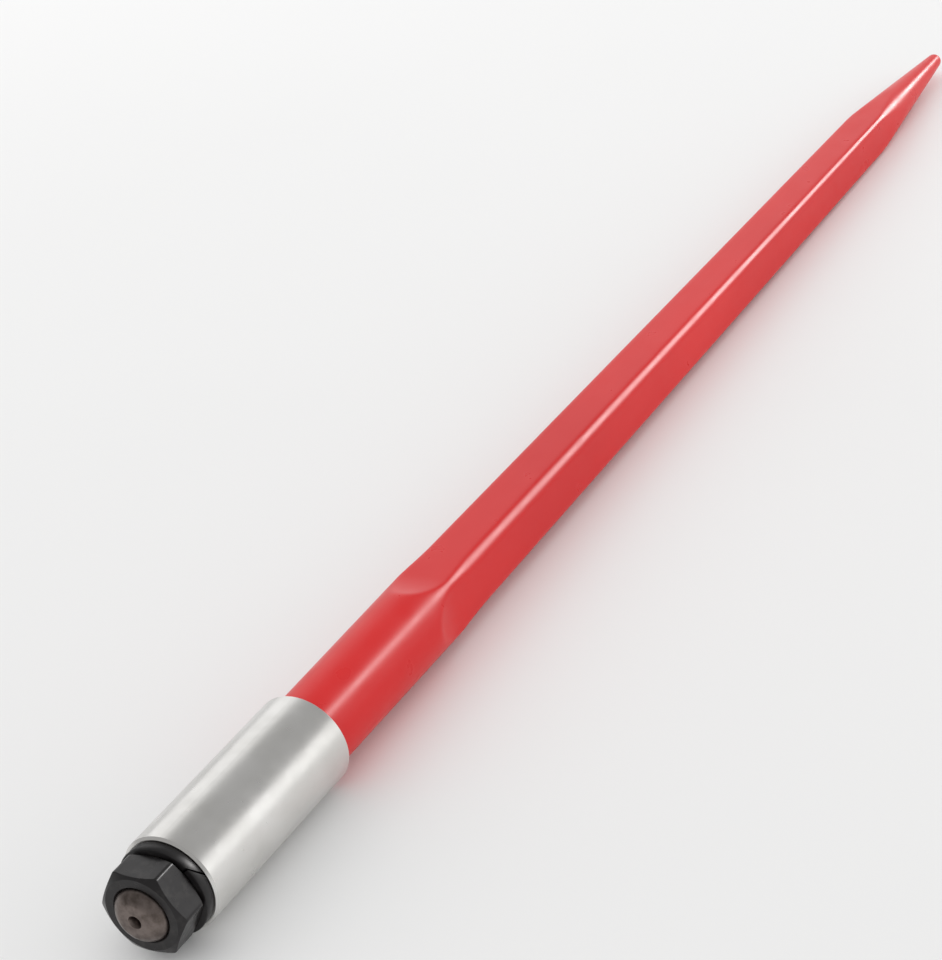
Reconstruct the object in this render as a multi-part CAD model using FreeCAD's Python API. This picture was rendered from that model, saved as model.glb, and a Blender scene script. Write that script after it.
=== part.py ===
import FreeCAD, Part

import math
import os

from FreeCAD import Vector

# Bale spear with its weld-in sleeve, split lock washer and hex nut.
# Millimetres. The spear lies along X with its point towards +X, +Z is up, and two of the bar's
# four flats face up and down. The origin is the middle of the sleeve.

# ---- spear: one forging, from the threaded end to the point ---------------------------------
OVERALL_LENGTH = 990.6
THREAD_DIAMETER = 28.0
THREAD_REACH = 7.0            # how far the thread runs on into the sleeve
PROTRUSION = 5.4              # shank standing out past the nut
END_FACE_DIAMETER = 17.0      # flat left in the middle of the domed end
END_DOME_BULGE = 0.9          # how far the dome stands out from a straight chamfer
COUNTERSINK_DIAMETER = 7.0    # centre hole in the end face
COUNTERSINK_ANGLE = 60.0
PILOT_DIAMETER = 3.2
PILOT_DEPTH = 9.0
RELIEF_LENGTH = 6.0           # undercut between the thread and the seat cone
RELIEF_DEPTH = 1.3

SHOULDER_DIAMETER = 42.4      # large end of the seat cone
SEAT_TAPER = 0.10             # growth in diameter for each millimetre of length
DRAW_UP = 2.0                 # seat cone left outside the sleeve's mouth
BARREL_LENGTH = 123.0         # round part between the seat cone and the neck
BARREL_DIAMETER = 43.2

NECK_LENGTH = 23.0            # where the corners sink from the barrel to the bar
NECK_DROP = 1.25              # how far they sink
NECK_HEAD_RADIUS = 80.0       # rounds the barrel into the neck
NECK_FOOT_RADIUS = 450.0      # rounds the neck into the bar
CORNERS_AT_POINT = 31.4       # the bar, measured across its corners
FLAT_SHARE_AT_NECK = 0.77     # the bar across its flats, as a share of the barrel's diameter
FLAT_SHARE_AT_POINT = 0.787   # and of its corners where the point starts
FLAT_SWEEP_RADIUS = 70.0      # how the flats sweep up out of the barrel
FLAT_EDGE_RADIUS = 2.5

POINT_LENGTH = 127.0
POINT_BLEND_RADIUS = 150.0    # rounds the bar into the point
NOSE_RADIUS = 4.8

# ---- weld-in sleeve -------------------------------------------------------------------------
SLEEVE_LENGTH = 118.0
SLEEVE_DIAMETER = 50.8
SLEEVE_EDGE_CHAMFER = 1.2
SLEEVE_BORE_CHAMFER = 1.0

# ---- split lock washer ----------------------------------------------------------------------
WASHER_DIAMETER = 47.4
WASHER_THICKNESS = 6.0
WASHER_EDGE_CHAMFER = 0.7
WASHER_SPLIT_WIDTH = 1.4
WASHER_SPLIT_SLANT = 48.0     # degrees away from the axis
WASHER_SPLIT_CLOCK = 60.0     # degrees from +Z towards -Y

# ---- hex nut --------------------------------------------------------------------------------
NUT_ACROSS_FLATS = 41.0
NUT_HEIGHT = 17.5
NUT_FACE_DIAMETER = 38.6      # flat face inside the chamfer
NUT_CHAMFER_ANGLE = 30.0
NUT_EDGE_RADIUS = 1.2
NUT_BORE_CHAMFER = 0.9
NUT_CLOCK = 0.0               # degrees from +Z towards -Y, to a corner

# ---- clearances, each on the radius ---------------------------------------------------------
SEAT_CLEARANCE = 0.05         # seat cone in the sleeve
THREAD_CLEARANCE = 0.10       # shank in the nut
WASHER_CLEARANCE = 0.35       # shank in the lock washer

# ---- sizes that follow from the others ------------------------------------------------------
CORNERS_AT_NECK = BARREL_DIAMETER - 2 * NECK_DROP
FLATS_AT_NECK = BARREL_DIAMETER * FLAT_SHARE_AT_NECK
FLATS_AT_POINT = CORNERS_AT_POINT * FLAT_SHARE_AT_POINT

# ---- places along the axis ------------------------------------------------------------------
SLEEVE_REAR = -SLEEVE_LENGTH / 2
SLEEVE_MOUTH = SLEEVE_LENGTH / 2
WASHER_REAR = SLEEVE_REAR - WASHER_THICKNESS
NUT_REAR = WASHER_REAR - NUT_HEIGHT
SHANK_END = NUT_REAR - PROTRUSION
THREAD_END = SLEEVE_REAR + THREAD_REACH
CONE_START = THREAD_END + RELIEF_LENGTH
SHOULDER = SLEEVE_MOUTH + DRAW_UP
NECK_START = SHOULDER + BARREL_LENGTH
NECK_END = NECK_START + NECK_LENGTH
NOSE = SHANK_END + OVERALL_LENGTH
POINT_START = NOSE - POINT_LENGTH

AXIS = Vector(1, 0, 0)
ORIGIN = Vector(0, 0, 0)
FULL_TURN = 360.0
SIDES_OF_BAR = 4
SIDES_OF_NUT = 6
OVERRUN = 2.0                 # how far a cutting shape runs past what it cuts
SEAM_CLOCK = 225.0            # degrees: where a turned surface closes, on a lower corner
SEAM_TOLERANCE = 0.001


# ---- profiles: points hold a place along the axis and a distance from it --------------------
def at(place, radius):
    return Vector(place, 0, radius)


def polar(centre, radius, angle):
    return centre + at(math.cos(angle), math.sin(angle)) * radius


def line(start, end):
    return Part.LineSegment(start, end).toShape()


def lines(*points):
    return [line(start, end) for start, end in zip(points, points[1:])]


def arc(start, middle, end):
    return Part.Arc(start, middle, end).toShape()


def rounded_line(start, turns, end):
    """Edges from start to end. Each turn on the way is a corner and the radius that rounds it."""
    corners = [start] + [corner for corner, _ in turns] + [end]
    edges = []
    for before, (corner, radius), after in zip(corners, turns, corners[2:]):
        back = (before - corner).normalize()
        ahead = (after - corner).normalize()
        half_angle = back.getAngle(ahead) / 2
        setback = radius / math.tan(half_angle)
        centre = corner + (back + ahead).normalize() * (radius / math.sin(half_angle))
        middle = centre + (corner - centre).normalize() * radius
        arc_start = corner + back * setback
        arc_end = corner + ahead * setback
        edges += [line(start, arc_start), arc(arc_start, middle, arc_end)]
        start = arc_end
    return edges + [line(start, end)]


def revolved(edges):
    """Solid of revolution about the axis, from a closed profile."""
    return Part.Face(Part.Wire(edges)).revolve(ORIGIN, AXIS, FULL_TURN)


def clocked(shape, degrees):
    """A copy of a shape, turned about the axis from +Z towards -Y."""
    turned = shape.copy()
    turned.rotate(ORIGIN, AXIS, degrees)
    return turned


# ---- spear ----------------------------------------------------------------------------------
def seat_radius(place):
    """Radius of the spear's seat cone."""
    return (SHOULDER_DIAMETER - (SHOULDER - place) * SEAT_TAPER) / 2


def centre_hole():
    """Pilot hole and countersink, from the axis out to the end face."""
    half_angle = math.radians(COUNTERSINK_ANGLE / 2)
    countersink_end = SHANK_END + (COUNTERSINK_DIAMETER - PILOT_DIAMETER) / 2 / math.tan(half_angle)
    return lines(at(SHANK_END + PILOT_DEPTH, 0),
                 at(SHANK_END + PILOT_DEPTH, PILOT_DIAMETER / 2),
                 at(countersink_end, PILOT_DIAMETER / 2),
                 at(SHANK_END, COUNTERSINK_DIAMETER / 2),
                 at(SHANK_END, END_FACE_DIAMETER / 2))


def domed_end():
    """Arc from the end face out to the thread, level with the nut's rear face."""
    start = at(SHANK_END, END_FACE_DIAMETER / 2)
    end = at(NUT_REAR, THREAD_DIAMETER / 2)
    along = (end - start).normalize()
    return arc(start, (start + end) * 0.5 + at(-along.z, along.x) * END_DOME_BULGE, end)


def shank():
    """Thread and undercut, up to the small end of the seat cone."""
    relief_radius = THREAD_DIAMETER / 2 - RELIEF_DEPTH
    slope = RELIEF_DEPTH
    return lines(at(NUT_REAR, THREAD_DIAMETER / 2),
                 at(THREAD_END, THREAD_DIAMETER / 2),
                 at(THREAD_END + slope, relief_radius),
                 at(CONE_START - slope, relief_radius),
                 at(CONE_START, seat_radius(CONE_START)))


def nose(point_start):
    """Where the straight side of the point meets the rounded nose, and the nose's arc."""
    centre = at(NOSE - NOSE_RADIUS, 0)
    reach = point_start - centre
    tangent_angle = math.atan2(reach.z, reach.x) - math.acos(NOSE_RADIUS / reach.Length)
    start = polar(centre, NOSE_RADIUS, tangent_angle)
    return start, arc(start, polar(centre, NOSE_RADIUS, tangent_angle / 2), at(NOSE, 0))


def body():
    """Barrel, neck, bar, point and nose, each running smoothly into the next."""
    neck_start = at(NECK_START, BARREL_DIAMETER / 2)
    neck_end = at(NECK_END, CORNERS_AT_NECK / 2)
    point_start = at(POINT_START, CORNERS_AT_POINT / 2)
    point_end, nose_arc = nose(point_start)
    turns = [(neck_start, NECK_HEAD_RADIUS),
             (neck_end, NECK_FOOT_RADIUS),
             (point_start, POINT_BLEND_RADIUS)]
    return rounded_line(at(SHOULDER, SHOULDER_DIAMETER / 2), turns, point_end) + [nose_arc]


def round_forging():
    """The spear before its flats are pressed: every corner of the bar lies on this shape."""
    seat = line(at(CONE_START, seat_radius(CONE_START)), at(SHOULDER, SHOULDER_DIAMETER / 2))
    closing = line(at(NOSE, 0), at(SHANK_END + PILOT_DEPTH, 0))
    return revolved(centre_hole() + [domed_end()] + shank() + [seat] + body() + [closing])


def flat_cutter():
    """What the top flat takes away: it follows the bar and sweeps up out of the barrel."""
    neck_end = at(NECK_END, FLATS_AT_NECK / 2)
    along = (at(POINT_START, FLATS_AT_POINT / 2) - neck_end).normalize()
    outward = at(-along.z, along.x)
    sweep_start = neck_end - along * NECK_LENGTH
    centre = sweep_start + outward * FLAT_SWEEP_RADIUS
    clear_of_barrel = BARREL_DIAMETER / 2 + OVERRUN
    sweep = math.acos(1 - (clear_of_barrel - sweep_start.z) / FLAT_SWEEP_RADIUS)

    def on_sweep(angle):
        return centre - (outward * math.cos(angle) + along * math.sin(angle)) * FLAT_SWEEP_RADIUS

    back = on_sweep(sweep)
    front = neck_end + along * (NOSE + OVERRUN - NECK_END)
    top = back.z + OVERRUN
    edges = [arc(back, on_sweep(sweep / 2), sweep_start)]
    edges += lines(sweep_start, front, at(front.x, top), at(back.x, top), back)
    face = Part.Face(Part.Wire(edges))
    face.translate(Vector(0, -clear_of_barrel, 0))
    return face.extrude(Vector(0, 2 * clear_of_barrel, 0))


def flat_edges(forging):
    """The long edges where the flats meet the round corners and run out on barrel and point."""
    found = []
    for edge in forging.Edges:
        box = edge.BoundBox
        beside_flats = SHOULDER < box.XMin and box.XMax < NOSE - NOSE_RADIUS
        runs_along = box.XLength > FLAT_EDGE_RADIUS
        if not (beside_flats and runs_along):
            continue
        middle = edge.valueAt((edge.FirstParameter + edge.LastParameter) / 2)
        on_seam = abs(abs(middle.y) - abs(middle.z)) < SEAM_TOLERANCE
        if not on_seam:
            found.append(edge)
    return found


def spear():
    quarter = FULL_TURN / SIDES_OF_BAR
    blank = clocked(round_forging(), SEAM_CLOCK)
    cutter = flat_cutter()
    forging = blank.cut([clocked(cutter, side * quarter) for side in range(SIDES_OF_BAR)])
    return forging.makeFillet(FLAT_EDGE_RADIUS, flat_edges(forging))


# ---- weld-in sleeve -------------------------------------------------------------------------
def bore_radius(place):
    """Radius of the sleeve's tapered bore, which the seat cone draws up into."""
    return seat_radius(place) + SEAT_CLEARANCE


def sleeve():
    """Round tube with a tapered bore, every edge chamfered."""
    outer = SLEEVE_DIAMETER / 2
    bore_rear = SLEEVE_REAR + SLEEVE_BORE_CHAMFER
    bore_mouth = SLEEVE_MOUTH - SLEEVE_BORE_CHAMFER
    rear_face = at(SLEEVE_REAR, bore_radius(bore_rear) + SLEEVE_BORE_CHAMFER)
    return revolved(lines(rear_face,
                          at(SLEEVE_REAR, outer - SLEEVE_EDGE_CHAMFER),
                          at(SLEEVE_REAR + SLEEVE_EDGE_CHAMFER, outer),
                          at(SLEEVE_MOUTH - SLEEVE_EDGE_CHAMFER, outer),
                          at(SLEEVE_MOUTH, outer - SLEEVE_EDGE_CHAMFER),
                          at(SLEEVE_MOUTH, bore_radius(bore_mouth) + SLEEVE_BORE_CHAMFER),
                          at(bore_mouth, bore_radius(bore_mouth)),
                          at(bore_rear, bore_radius(bore_rear)),
                          rear_face))


# ---- split lock washer ----------------------------------------------------------------------
def lock_washer():
    """Flattened spring washer: a ring of square section, split on the slant."""
    inner = THREAD_DIAMETER / 2 + WASHER_CLEARANCE
    outer = WASHER_DIAMETER / 2
    rear_face = at(WASHER_REAR, inner)
    ring = revolved(lines(rear_face,
                          at(WASHER_REAR, outer - WASHER_EDGE_CHAMFER),
                          at(WASHER_REAR + WASHER_EDGE_CHAMFER, outer),
                          at(SLEEVE_REAR - WASHER_EDGE_CHAMFER, outer),
                          at(SLEEVE_REAR, outer - WASHER_EDGE_CHAMFER),
                          at(SLEEVE_REAR, inner),
                          rear_face))
    return ring.cut(washer_split())


def washer_split():
    """Thin slanted slab through one side of the washer."""
    reach = 2 * WASHER_DIAMETER
    slab = Part.makeBox(reach, WASHER_SPLIT_WIDTH, WASHER_DIAMETER,
                        Vector(-reach / 2, -WASHER_SPLIT_WIDTH / 2, 0))
    slab.rotate(ORIGIN, Vector(0, 0, 1), WASHER_SPLIT_SLANT)
    slab.translate(Vector((WASHER_REAR + SLEEVE_REAR) / 2, 0, 0))
    return clocked(slab, WASHER_SPLIT_CLOCK)


# ---- hex nut --------------------------------------------------------------------------------
def hex_prism():
    corner_radius = NUT_ACROSS_FLATS / 2 / math.cos(math.pi / SIDES_OF_NUT)
    corners = []
    for side in range(SIDES_OF_NUT + 1):
        angle = 2 * math.pi * side / SIDES_OF_NUT
        corners.append(Vector(NUT_REAR, corner_radius * math.sin(angle), corner_radius * math.cos(angle)))
    prism = Part.Face(Part.Wire(lines(*corners))).extrude(Vector(NUT_HEIGHT, 0, 0))
    uprights = [edge for edge in prism.Edges if edge.BoundBox.XLength > NUT_HEIGHT / 2]
    return prism.makeFillet(NUT_EDGE_RADIUS, uprights), corner_radius


def hex_nut():
    """Hexagon chamfered on both faces, with a bore that clears the shank."""
    prism, corner_radius = hex_prism()
    face_radius = NUT_FACE_DIAMETER / 2
    chamfer = (corner_radius - face_radius) * math.tan(math.radians(NUT_CHAMFER_ANGLE))
    bore = THREAD_DIAMETER / 2 + THREAD_CLEARANCE
    mouth = bore + NUT_BORE_CHAMFER
    outline = lines(at(NUT_REAR, mouth),
                    at(NUT_REAR, face_radius),
                    at(NUT_REAR + chamfer, corner_radius),
                    at(WASHER_REAR - chamfer, corner_radius),
                    at(WASHER_REAR, face_radius),
                    at(WASHER_REAR, mouth),
                    at(WASHER_REAR - NUT_BORE_CHAMFER, bore),
                    at(NUT_REAR + NUT_BORE_CHAMFER, bore),
                    at(NUT_REAR, mouth))
    return clocked(prism.common(revolved(outline)), NUT_CLOCK)


def main():
    os.makedirs("parts", exist_ok=True)
    nodes = {"spear": spear(), "sleeve": sleeve(), "lock_washer": lock_washer(), "hex_nut": hex_nut()}
    for name, shape in nodes.items():
        shape.exportStep(f"parts/{name}.step")


main()
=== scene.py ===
import math

import bmesh
import bpy
from mathutils import Matrix, Vector


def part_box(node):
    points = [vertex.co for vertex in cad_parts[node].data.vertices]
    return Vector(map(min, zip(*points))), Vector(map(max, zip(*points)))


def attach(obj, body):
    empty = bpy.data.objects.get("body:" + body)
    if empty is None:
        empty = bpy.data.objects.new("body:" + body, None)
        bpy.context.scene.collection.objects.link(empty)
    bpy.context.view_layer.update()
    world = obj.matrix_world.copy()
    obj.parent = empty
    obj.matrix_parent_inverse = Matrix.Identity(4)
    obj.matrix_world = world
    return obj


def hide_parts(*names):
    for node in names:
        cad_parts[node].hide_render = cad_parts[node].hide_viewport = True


# Metres, in the frame's own axes: the spear lies along X with its point towards +X, and +Z is up.

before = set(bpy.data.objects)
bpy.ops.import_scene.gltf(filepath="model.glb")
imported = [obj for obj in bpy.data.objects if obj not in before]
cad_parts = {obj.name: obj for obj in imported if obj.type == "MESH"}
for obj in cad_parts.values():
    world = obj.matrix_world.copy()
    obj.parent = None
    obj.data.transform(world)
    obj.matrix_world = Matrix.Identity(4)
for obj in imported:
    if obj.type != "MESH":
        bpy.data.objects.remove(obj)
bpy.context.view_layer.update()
scene = bpy.context.scene


# ---- node helpers ---------------------------------------------------------------------------
def material(name):
    """An empty node material with a Principled shader on its output."""
    made = bpy.data.materials.new(name)
    made.use_nodes = True
    nodes = made.node_tree.nodes
    nodes.clear()
    output = nodes.new("ShaderNodeOutputMaterial")
    shader = nodes.new("ShaderNodeBsdfPrincipled")
    made.node_tree.links.new(shader.outputs["BSDF"], output.inputs["Surface"])
    return made, shader


def node(made, kind, inputs=(), **settings):
    """A shader node with its settings, and its inputs as numbers or as sockets to link."""
    new = made.node_tree.nodes.new(kind)
    for name, value in settings.items():
        setattr(new, name, value)
    for key, value in dict(inputs).items():
        plug(made, value, new.inputs[key])
    return new


def plug(made, value, socket):
    if isinstance(value, bpy.types.NodeSocket):
        made.node_tree.links.new(value, socket)
    else:
        socket.default_value = value


def object_place(made):
    """Place on the part, in metres along the part's own axes."""
    return node(made, "ShaderNodeTexCoord").outputs["Object"]


def noise(made, scale, detail=3.0, stretch=(1, 1, 1), roughness=0.5):
    """Noise on the part's own axes. A stretch under 1 draws it out along that axis."""
    place = node(made, "ShaderNodeMapping", {"Vector": object_place(made), "Scale": stretch})
    return node(made, "ShaderNodeTexNoise", {"Vector": place.outputs["Vector"], "Scale": scale,
                                             "Detail": detail, "Roughness": roughness}).outputs["Fac"]


def remap(made, value, low, high, to_low, to_high):
    """A value carried from one range to another, and held at its ends."""
    return node(made, "ShaderNodeMapRange", {"Value": value, "From Min": low, "From Max": high,
                                             "To Min": to_low, "To Max": to_high}).outputs["Result"]


def blend(made, amount, first, second):
    """A mix of two colours."""
    mix = node(made, "ShaderNodeMix", data_type="RGBA")
    plug(made, amount, mix.inputs["Factor"])
    colour_sockets = [socket for socket in mix.inputs if socket.type == "RGBA"]
    plug(made, first, colour_sockets[0])
    plug(made, second, colour_sockets[1])
    return [socket for socket in mix.outputs if socket.type == "RGBA"][0]


def blend_value(made, amount, first, second):
    """A mix of two numbers."""
    mix = node(made, "ShaderNodeMix", data_type="FLOAT")
    plug(made, amount, mix.inputs["Factor"])
    number_sockets = [socket for socket in mix.inputs if socket.type == "VALUE"][1:]
    plug(made, first, number_sockets[0])
    plug(made, second, number_sockets[1])
    return [socket for socket in mix.outputs if socket.type == "VALUE"][0]


def bump(made, height, distance, strength=1.0, under=None):
    """A bump of a true depth in metres, on top of another one."""
    inputs = {"Height": height, "Distance": distance, "Strength": strength}
    if under is not None:
        inputs["Normal"] = under
    return node(made, "ShaderNodeBump", inputs).outputs["Normal"]


# ---- materials ------------------------------------------------------------------------------
RED = (0.70, 0.030, 0.030, 1)
RED_DEEP = (0.62, 0.024, 0.025, 1)
SHANK_STEEL = (0.20, 0.165, 0.15, 1)
SHANK_STEEL_DARK = (0.10, 0.08, 0.07, 1)
SLEEVE_STEEL = (0.74, 0.73, 0.71, 1)
SLEEVE_STEEL_DULL = (0.66, 0.65, 0.625, 1)
BLACK = (0.012, 0.0105, 0.011, 1)
BLACK_WORN = (0.030, 0.027, 0.026, 1)
PAINT_ENDS = (-0.030, -0.026)      # inside the sleeve, where the paint gives way to bare steel


def spear_finish():
    """Red paint over forged steel, and bare steel on the threaded end."""
    made, shader = material("spear_finish")
    along = node(made, "ShaderNodeSeparateXYZ", {"Vector": object_place(made)}).outputs["X"]
    painted = remap(made, along, *PAINT_ENDS, 0.0, 1.0)
    cloud = remap(made, noise(made, 14, detail=4, stretch=(0.35, 1, 1)), 0.35, 0.70, 0.0, 1.0)
    red = blend(made, cloud, RED, RED_DEEP)
    tarnish = remap(made, noise(made, 220, detail=5), 0.38, 0.66, 0.0, 1.0)
    steel = blend(made, tarnish, SHANK_STEEL, SHANK_STEEL_DARK)
    plug(made, blend(made, painted, steel, red), shader.inputs["Base Color"])

    paint_rough = remap(made, noise(made, 60, detail=4), 0.3, 0.7, 0.27, 0.36)
    steel_rough = remap(made, noise(made, 300, detail=4), 0.3, 0.7, 0.30, 0.46)
    plug(made, blend_value(made, painted, steel_rough, paint_rough), shader.inputs["Roughness"])
    plug(made, remap(made, painted, 0.0, 1.0, 1.0, 0.0), shader.inputs["Metallic"])
    shader.inputs["Specular IOR Level"].default_value = 0.15

    forging = bump(made, noise(made, 22, detail=2, stretch=(0.4, 1, 1)), 0.00035, strength=0.35)
    peel = bump(made, noise(made, 900, detail=2), 0.00002, strength=0.35, under=forging)
    plug(made, peel, shader.inputs["Normal"])
    return made


def sleeve_finish():
    """Satin machined steel: fine turning marks round the tube and a faint dullness."""
    made, shader = material("sleeve_finish")
    dull = remap(made, noise(made, 45, detail=5, stretch=(0.6, 1, 1)), 0.38, 0.68, 0.0, 1.0)
    plug(made, blend(made, dull, SLEEVE_STEEL, SLEEVE_STEEL_DULL), shader.inputs["Base Color"])
    shader.inputs["Metallic"].default_value = 1.0
    plug(made, remap(made, noise(made, 120, detail=4), 0.3, 0.7, 0.27, 0.36), shader.inputs["Roughness"])
    turning = bump(made, noise(made, 60, detail=3, stretch=(60, 0.6, 0.6)), 0.00001, strength=0.25)
    plug(made, turning, shader.inputs["Normal"])
    return made


def black_finish(name, low, high):
    """Black oxide on steel, with roughness between low and high and a little wear."""
    made, shader = material(name)
    worn = remap(made, noise(made, 160, detail=6, roughness=0.6), 0.52, 0.74, 0.0, 1.0)
    plug(made, blend(made, worn, BLACK, BLACK_WORN), shader.inputs["Base Color"])
    shader.inputs["Metallic"].default_value = 0.35
    plug(made, remap(made, noise(made, 240, detail=4), 0.3, 0.7, low, high), shader.inputs["Roughness"])
    grain = bump(made, noise(made, 1400, detail=2), 0.00001, strength=0.4)
    plug(made, grain, shader.inputs["Normal"])
    return made


def wear(cad_node, made):
    """Gives a CAD node one material."""
    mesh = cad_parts[cad_node].data
    mesh.materials.clear()
    mesh.materials.append(made)


# ---- fine pieces: rings of places about the axis, sizes in millimetres ----------------------
MM = 0.001
SAME_PLACE = 1e-7             # metres
FULL_TURN = 2 * math.pi


def about_axis(place, radius, clock):
    """A place in metres. The clock angle goes from +Z towards -Y."""
    return Vector((place, -radius * math.sin(clock), radius * math.cos(clock))) * MM


def skin(name, rings, made, node_name, tube=False, split=False, sharp=35):
    """A mesh through rings of places, riding on the body in place of a CAD node.

    A tube's last ring joins its first. A split ring is left open, and closed across its two ends.
    """
    count = len(rings[0])
    vertices = [place for ring in rings for place in ring]
    pairs = list(zip(range(len(rings)), range(1, len(rings))))
    if tube:
        pairs.append((len(rings) - 1, 0))
    faces = []
    for first, second in pairs:
        for step in range(count - 1 if split else count):
            ahead = (step + 1) % count
            faces.append((first * count + step, first * count + ahead,
                          second * count + ahead, second * count + step))
    if not tube:
        last = (len(rings) - 1) * count
        faces.append(tuple(range(count)))
        faces.append(tuple(range(last, last + count)))
    if split:
        faces.append(tuple(ring * count for ring in range(len(rings))))
        faces.append(tuple(ring * count + count - 1 for ring in range(len(rings))))
    mesh = bpy.data.meshes.new(name)
    mesh.from_pydata(vertices, [], faces)
    shell = bmesh.new()
    shell.from_mesh(mesh)
    bmesh.ops.remove_doubles(shell, verts=shell.verts, dist=SAME_PLACE)
    bmesh.ops.recalc_face_normals(shell, faces=shell.faces)
    shell.to_mesh(mesh)
    shell.free()
    mesh.shade_smooth()
    mesh.set_sharp_from_angle(angle=math.radians(sharp))
    mesh.materials.append(made)
    piece = bpy.data.objects.new(name, mesh)
    scene.collection.objects.link(piece)
    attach(piece, "root")
    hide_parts(node_name)
    return piece


def soft_least(first, second, width):
    """The lesser of two values, with the corner between them rounded."""
    least = min(first, second)
    spread = math.exp((least - first) / width) + math.exp((least - second) / width)
    return least - width * math.log(spread)


def steps_between(low, high, step):
    """Places from low up to, but not at, high."""
    count = max(1, round((high - low) / step))
    return [low + (high - low) * index / count for index in range(count)]


# ---- spear ----------------------------------------------------------------------------------
SHANK_END = -87.9
NUT_REAR = -82.5
SHOULDER = 61.0
NECK_START = 184.0
NECK_END = 207.0
POINT_START = 775.7
NOSE = 902.7
NOSE_RADIUS = 4.8
FLAT_AT_NECK = 16.63          # from the axis to a flat
FLAT_AT_POINT = 12.36
FLAT_SWEEP_RADIUS = 70.0
FLAT_EDGE_SOFTNESS = 0.38
DOME_BULGE = 0.9
DOME_STEPS = 9
NOSE_STEPS = 9
NO_FLAT = 1000.0              # a flat too far out to cut anything

# Place along the axis and radius: the centre hole and end face, then the thread, undercut and seat.
TURNED_END = ((-78.9, 1.6), (-84.6, 1.6), (SHANK_END, 3.5), (SHANK_END, 8.5))
TURNED_SHANK = ((NUT_REAR, 14.0), (-52.0, 14.0), (-50.7, 12.7), (-47.3, 12.7), (-46.0, 15.85))

# Place, radius, and the radius that rounds the corner there.
BODY_CORNERS = ((SHOULDER, 21.2, 0), (NECK_START, 21.6, 80), (NECK_END, 20.35, 450),
                (POINT_START, 15.7, 150))

# Start, end and spacing of the body's rings, closest where the flats start and where they run out.
STRETCHES = ((61.01, 124.0, 6.0), (124.0, 250.0, 1.5), (250.0, 735.0, 8.0), (735.0, 855.0, 1.5),
             (855.0, 896.0, 4.0))

QUARTER = FULL_TURN / 4
EIGHTH = FULL_TURN / 8
HALF_FLAT_STEPS = 24          # columns from the middle of a flat to the middle of a corner
RING_STEPS = 8 * HALF_FLAT_STEPS
SHARE_ON_FLAT = 0.6           # of those columns, up to the long edge
LEAST_EDGE_CLOCK = math.radians(34)


def rounded_path(corners, steps=16):
    """Points along a line whose corners are rounded by their radii."""
    path = [Vector(corners[0][:2])]
    for before, corner, after in zip(corners, corners[1:], corners[2:]):
        here = Vector(corner[:2])
        radius = corner[2]
        back = (Vector(before[:2]) - here).normalized()
        ahead = (Vector(after[:2]) - here).normalized()
        half_angle = back.angle(ahead) / 2
        setback = radius / math.tan(half_angle)
        centre = here + (back + ahead).normalized() * (radius / math.sin(half_angle))
        first = here + back * setback - centre
        last = here + ahead * setback - centre
        for step in range(steps + 1):
            path.append(centre + first.lerp(last, step / steps).normalized() * radius)
    path.append(Vector(corners[-1][:2]))
    return path


def nose_tangent():
    """Angle of the spoke from the nose's centre to where the point's side meets it."""
    reach = Vector((POINT_START - (NOSE - NOSE_RADIUS), BODY_CORNERS[-1][1]))
    return math.atan2(reach.y, reach.x) - math.acos(NOSE_RADIUS / reach.length)


def nose_place(angle):
    """Place and radius on the rounded nose."""
    return NOSE - NOSE_RADIUS + NOSE_RADIUS * math.cos(angle), NOSE_RADIUS * math.sin(angle)


BODY_PATH = rounded_path(BODY_CORNERS + (nose_place(nose_tangent()),))


def body_radius(place):
    """Radius of the round forging, from the shoulder to the nose."""
    for before, after in zip(BODY_PATH, BODY_PATH[1:]):
        if place <= after.x:
            return before.y + (after.y - before.y) * (place - before.x) / (after.x - before.x)
    return BODY_PATH[-1].y


def flat_distance(place):
    """From the axis to a flat, which sweeps up out of the barrel at its start."""
    slope = (FLAT_AT_POINT - FLAT_AT_NECK) / (POINT_START - NECK_END)
    flat = FLAT_AT_NECK + slope * (place - NECK_END)
    run = max(0.0, NECK_START - place)
    if run >= FLAT_SWEEP_RADIUS:
        return NO_FLAT
    return flat + FLAT_SWEEP_RADIUS - math.sqrt(FLAT_SWEEP_RADIUS ** 2 - run ** 2)


def off_flat(share, edge):
    """Angle from the middle of a flat, for a share of the way to the middle of a corner."""
    if share < SHARE_ON_FLAT:
        return edge * share / SHARE_ON_FLAT
    return edge + (EIGHTH - edge) * (share - SHARE_ON_FLAT) / (1 - SHARE_ON_FLAT)


def bar_ring(place):
    """A ring whose columns keep to the long edges, where a flat meets a round corner."""
    radius = body_radius(place)
    distance = flat_distance(place)
    edge = max(math.acos(min(1.0, distance / radius)), LEAST_EDGE_CLOCK)
    ring = []
    for side in range(4):
        for step in range(-HALF_FLAT_STEPS, HALF_FLAT_STEPS):
            off = off_flat(abs(step) / HALF_FLAT_STEPS, edge)
            level = soft_least(radius, distance / math.cos(off), FLAT_EDGE_SOFTNESS)
            ring.append(about_axis(place, level, side * QUARTER + math.copysign(off, step)))
    return ring


def round_ring(place, radius, count, start=0.0):
    return [about_axis(place, radius, start + FULL_TURN * step / count) for step in range(count)]


def turned_ring(place, radius):
    """A round ring whose columns follow on from the bar's."""
    return round_ring(place, radius, RING_STEPS, -EIGHTH)


def dome_places():
    """Places between the end face and the thread, on a bulged line."""
    start, end = Vector(TURNED_END[-1]), Vector(TURNED_SHANK[0])
    across = Vector((start.y - end.y, end.x - start.x)).normalized()
    for step in range(1, DOME_STEPS):
        share = step / DOME_STEPS
        yield start.lerp(end, share) + across * DOME_BULGE * 4 * share * (1 - share)


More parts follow.
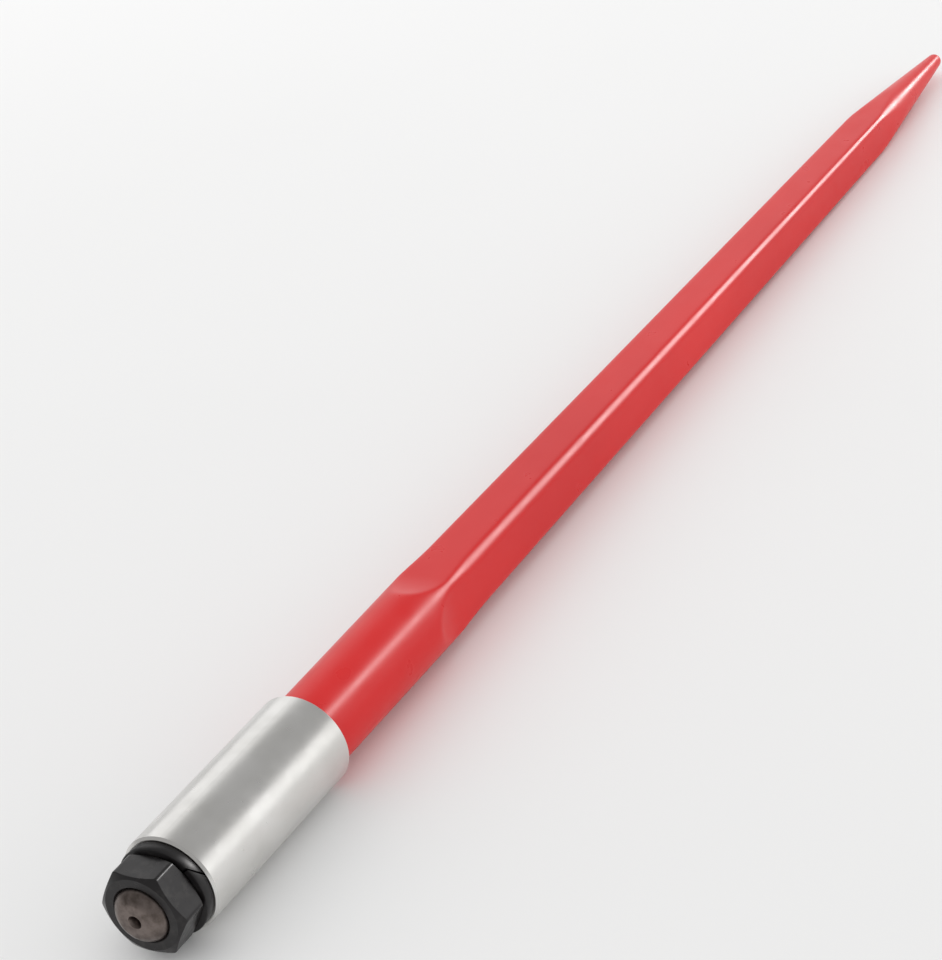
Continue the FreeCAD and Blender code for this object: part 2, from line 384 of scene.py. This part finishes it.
def build_spear(made):
    rings = [turned_ring(*point) for point in TURNED_END]
    rings += [turned_ring(point.x, point.y) for point in dome_places()]
    rings += [turned_ring(*point) for point in TURNED_SHANK]
    rings.append(bar_ring(SHOULDER))
    for stretch in STRETCHES:
        rings += [bar_ring(place) for place in steps_between(*stretch)]
    for step in range(NOSE_STEPS):
        rings.append(turned_ring(*nose_place(nose_tangent() * (1 - step / NOSE_STEPS))))
    rings.append([about_axis(NOSE, 0, 0)] * RING_STEPS)
    return skin("forged_spear", rings, made, "spear")


# ---- hex nut --------------------------------------------------------------------------------
NUT_HALF_FLATS = 20.5
NUT_CORNER_RADIUS = 2.3
NUT_FACE_RADIUS = 19.3
NUT_BORE = 14.1
NUT_MOUTH = 15.0
NUT_HEIGHT = 17.5
NUT_FRONT = NUT_REAR + NUT_HEIGHT
NUT_CHAMFER_SLOPE = math.tan(math.radians(30))
NUT_SOFTNESS = 0.12
NUT_CHAMFER_STEP = 0.12
NUT_SIDE_STEP = 2.0
NUT_STEPS = 480
NUT_SHARP = 28
SIXTH = FULL_TURN / 6


def hexagon(clock):
    """Distance from the axis to a hexagon with rounded corners and a flat at the top."""
    from_corner = abs(clock % SIXTH - SIXTH / 2)
    flat = NUT_HALF_FLATS / math.cos(SIXTH / 2 - from_corner)
    centre = (NUT_HALF_FLATS - NUT_CORNER_RADIUS) / math.cos(SIXTH / 2)
    across = centre * math.sin(from_corner)
    if across >= NUT_CORNER_RADIUS * math.sin(SIXTH / 2):
        return flat
    return min(flat, centre * math.cos(from_corner) + math.sqrt(NUT_CORNER_RADIUS ** 2 - across ** 2))


def nut_ring(depth, limit):
    """A ring of the nut's outside, no further out than its chamfer lets it be."""
    ring = []
    for step in range(NUT_STEPS):
        clock = FULL_TURN * step / NUT_STEPS
        radius = soft_least(hexagon(clock), limit, NUT_SOFTNESS)
        ring.append(about_axis(NUT_REAR + depth, radius, clock))
    return ring


def build_nut(made):
    chamfer = (NUT_HALF_FLATS / math.cos(SIXTH / 2) - NUT_FACE_RADIUS) * NUT_CHAMFER_SLOPE
    depths = steps_between(0, chamfer, NUT_CHAMFER_STEP)
    depths += steps_between(chamfer, NUT_HEIGHT / 2, NUT_SIDE_STEP)
    rear = [(depth, NUT_FACE_RADIUS + depth / NUT_CHAMFER_SLOPE) for depth in depths]
    front = [(NUT_HEIGHT - depth, limit) for depth, limit in reversed(rear)]
    bore_chamfer = NUT_MOUTH - NUT_BORE
    rings = [round_ring(NUT_REAR, NUT_MOUTH, NUT_STEPS)]
    rings += [nut_ring(depth, limit) for depth, limit in rear + front]
    rings += [round_ring(NUT_FRONT, NUT_MOUTH, NUT_STEPS),
              round_ring(NUT_FRONT - bore_chamfer, NUT_BORE, NUT_STEPS),
              round_ring(NUT_REAR + bore_chamfer, NUT_BORE, NUT_STEPS)]
    return skin("chamfered_nut", rings, made, "hex_nut", tube=True, sharp=NUT_SHARP)


# ---- split lock washer ----------------------------------------------------------------------
WASHER_SECTION = ((-65.0, 14.35), (-65.0, 22.9), (-64.8, 23.4), (-64.3, 23.7), (-59.7, 23.7),
                  (-59.2, 23.4), (-59.0, 22.9), (-59.0, 14.35))
WASHER_MIDDLE = -62.0
WASHER_STEPS = 240
SPLIT_CLOCK = 56.0
SPLIT_TURN = 3.3              # degrees for each millimetre along the axis
SPLIT_WIDTH = 1.4


def build_washer(made):
    rings = []
    for place, radius in WASHER_SECTION:
        half_gap = SPLIT_WIDTH / 2 / radius
        middle = math.radians(SPLIT_CLOCK + SPLIT_TURN * (place - WASHER_MIDDLE))
        span = 2 * (math.pi - half_gap)
        rings.append([about_axis(place, radius, middle + half_gap + span * step / WASHER_STEPS)
                      for step in range(WASHER_STEPS + 1)])
    return skin("split_washer", rings, made, "lock_washer", tube=True, split=True)


build_spear(spear_finish())
build_nut(black_finish("nut_finish", 0.26, 0.36))
build_washer(black_finish("washer_finish", 0.34, 0.46))
wear("sleeve", sleeve_finish())


# ---- floor: it touches the sleeve's lower mouth edge and the bar's lower flat ----------------
FLOOR_SIZE = 14.0
SAME_HEIGHT = 1e-5
FLOOR_COLOUR = (0.87, 0.87, 0.868, 1)
FLOOR_MOTTLE = (0.855, 0.855, 0.852, 1)


def resting_floor():
    """Height of the floor at X = 0 and its slope along X."""
    low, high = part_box("sleeve")
    sleeve_places = [vertex.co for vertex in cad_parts["sleeve"].data.vertices]
    lowest = [place for place in sleeve_places if place.z < low.z + SAME_HEIGHT]
    edge = max(lowest, key=lambda place: place.x)
    spear_places = [vertex.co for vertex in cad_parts["spear"].data.vertices]
    beyond = [place for place in spear_places if place.x > 2 * high.x]
    slope = min((place.z - edge.z) / (place.x - edge.x) for place in beyond)
    return edge.z - slope * edge.x, slope


def floor_finish():
    """Matt pale floor, with a faint mottle."""
    made, shader = material("floor_finish")
    mottle = noise(made, 3, detail=3)
    plug(made, blend(made, mottle, FLOOR_COLOUR, FLOOR_MOTTLE), shader.inputs["Base Color"])
    plug(made, remap(made, noise(made, 40), 0.3, 0.7, 0.85, 0.95), shader.inputs["Roughness"])
    shader.inputs["Specular IOR Level"].default_value = 0.1
    plug(made, bump(made, noise(made, 90), 0.0001, strength=0.2), shader.inputs["Normal"])
    return made


height, slope = resting_floor()
bpy.ops.mesh.primitive_plane_add(size=FLOOR_SIZE, location=(0, 0, height),
                                 rotation=(0, -math.atan(slope), 0))
floor = bpy.context.object
floor.name = "floor"
floor.data.materials.append(floor_finish())


# ---- light ----------------------------------------------------------------------------------
SKY_ON_SURFACES = 0.90
SKY_IN_REFLECTIONS = 0.45
SKY_SEEN = 1.0

world = bpy.data.worlds.new("studio")
world.use_nodes = True
scene.world = world
background = world.node_tree.nodes["Background"]
background.inputs["Color"].default_value = (1, 1, 1, 1)
light_path = node(world, "ShaderNodeLightPath")


def by_ray(kind, otherwise, then):
    """A strength that is one value for a kind of ray and another for the rest."""
    inputs = {"Value": light_path.outputs[kind], "To Min": otherwise, "To Max": then}
    return node(world, "ShaderNodeMapRange", inputs).outputs["Result"]


strength = by_ray("Is Camera Ray", by_ray("Is Glossy Ray", SKY_ON_SURFACES, SKY_IN_REFLECTIONS), SKY_SEEN)
plug(world, strength, background.inputs["Strength"])

MIDDLE = Vector((0.35, 0, 0))      # where the lights point


def facing(place, axes):
    """A placing from a point and the directions of its three axes."""
    return Matrix.Translation(place) @ Matrix(axes).transposed().to_4x4()


def softbox(name, clock, ahead, distance, length, width, radiance):
    """A long light beside the spear, facing it.

    The clock angle goes from up-and-forward (the direction (0, -1, 1)) down towards (0, -1, -1).
    """
    turn = math.radians(clock)
    up_front = Vector((0, -1, 1)).normalized()
    down_front = Vector((0, -1, -1)).normalized()
    out = up_front * math.cos(turn) + down_front * math.sin(turn)
    lamp = bpy.data.lights.new(name, "AREA")
    lamp.shape = "RECTANGLE"
    lamp.size = length
    lamp.size_y = width
    lamp.energy = radiance * length * width * math.pi
    light = bpy.data.objects.new(name, lamp)
    scene.collection.objects.link(light)
    place = Vector((ahead, 0, 0)) + out * distance
    back = (place - MIDDLE).normalized()
    along = Vector((1, 0, 0)) - back * back.x
    along.normalize()
    light.matrix_world = facing(place, (along, back.cross(along), back))
    return light


strip = softbox("strip", 0, 1.9, 1.4, 2.2, 0.30, 34.0)
strip.visible_diffuse = False
softbox("key", 30, 1.9, 1.5, 3.0, 1.0, 1.0)
softbox("fill", -100, 1.9, 1.5, 3.0, 1.6, 0.75)

shaded = bpy.data.collections.new("not_lit_by_strip")
shaded.objects.link(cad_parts["sleeve"])
strip.light_linking.receiver_collection = shaded
for link in shaded.collection_objects:
    link.light_linking.link_state = "EXCLUDE"


# ---- camera ---------------------------------------------------------------------------------
CAMERA_PLACE = Vector((-0.8962, -0.7673, 0.7673))
CAMERA_AZIMUTH = -56.023
CAMERA_ELEVATION = 27.914
CAMERA_ROLL = -11.243
LENS = 112.5


def camera_axes():
    azimuth = math.radians(CAMERA_AZIMUTH)
    elevation = math.radians(CAMERA_ELEVATION)
    back = Vector((math.sin(azimuth) * math.cos(elevation),
                   -math.cos(azimuth) * math.cos(elevation),
                   math.sin(elevation)))
    level = Vector((math.cos(azimuth), math.sin(azimuth), 0))
    roll = math.radians(CAMERA_ROLL)
    right = level * math.cos(roll) + back.cross(level) * math.sin(roll)
    return right, back.cross(right), back


data = bpy.data.cameras.new("camera")
data.lens = LENS
data.sensor_width = 36.0
data.clip_end = 50.0
camera = bpy.data.objects.new("camera", data)
scene.collection.objects.link(camera)
camera.matrix_world = facing(CAMERA_PLACE, camera_axes())
scene.camera = camera
scene.view_settings.view_transform = "Standard"
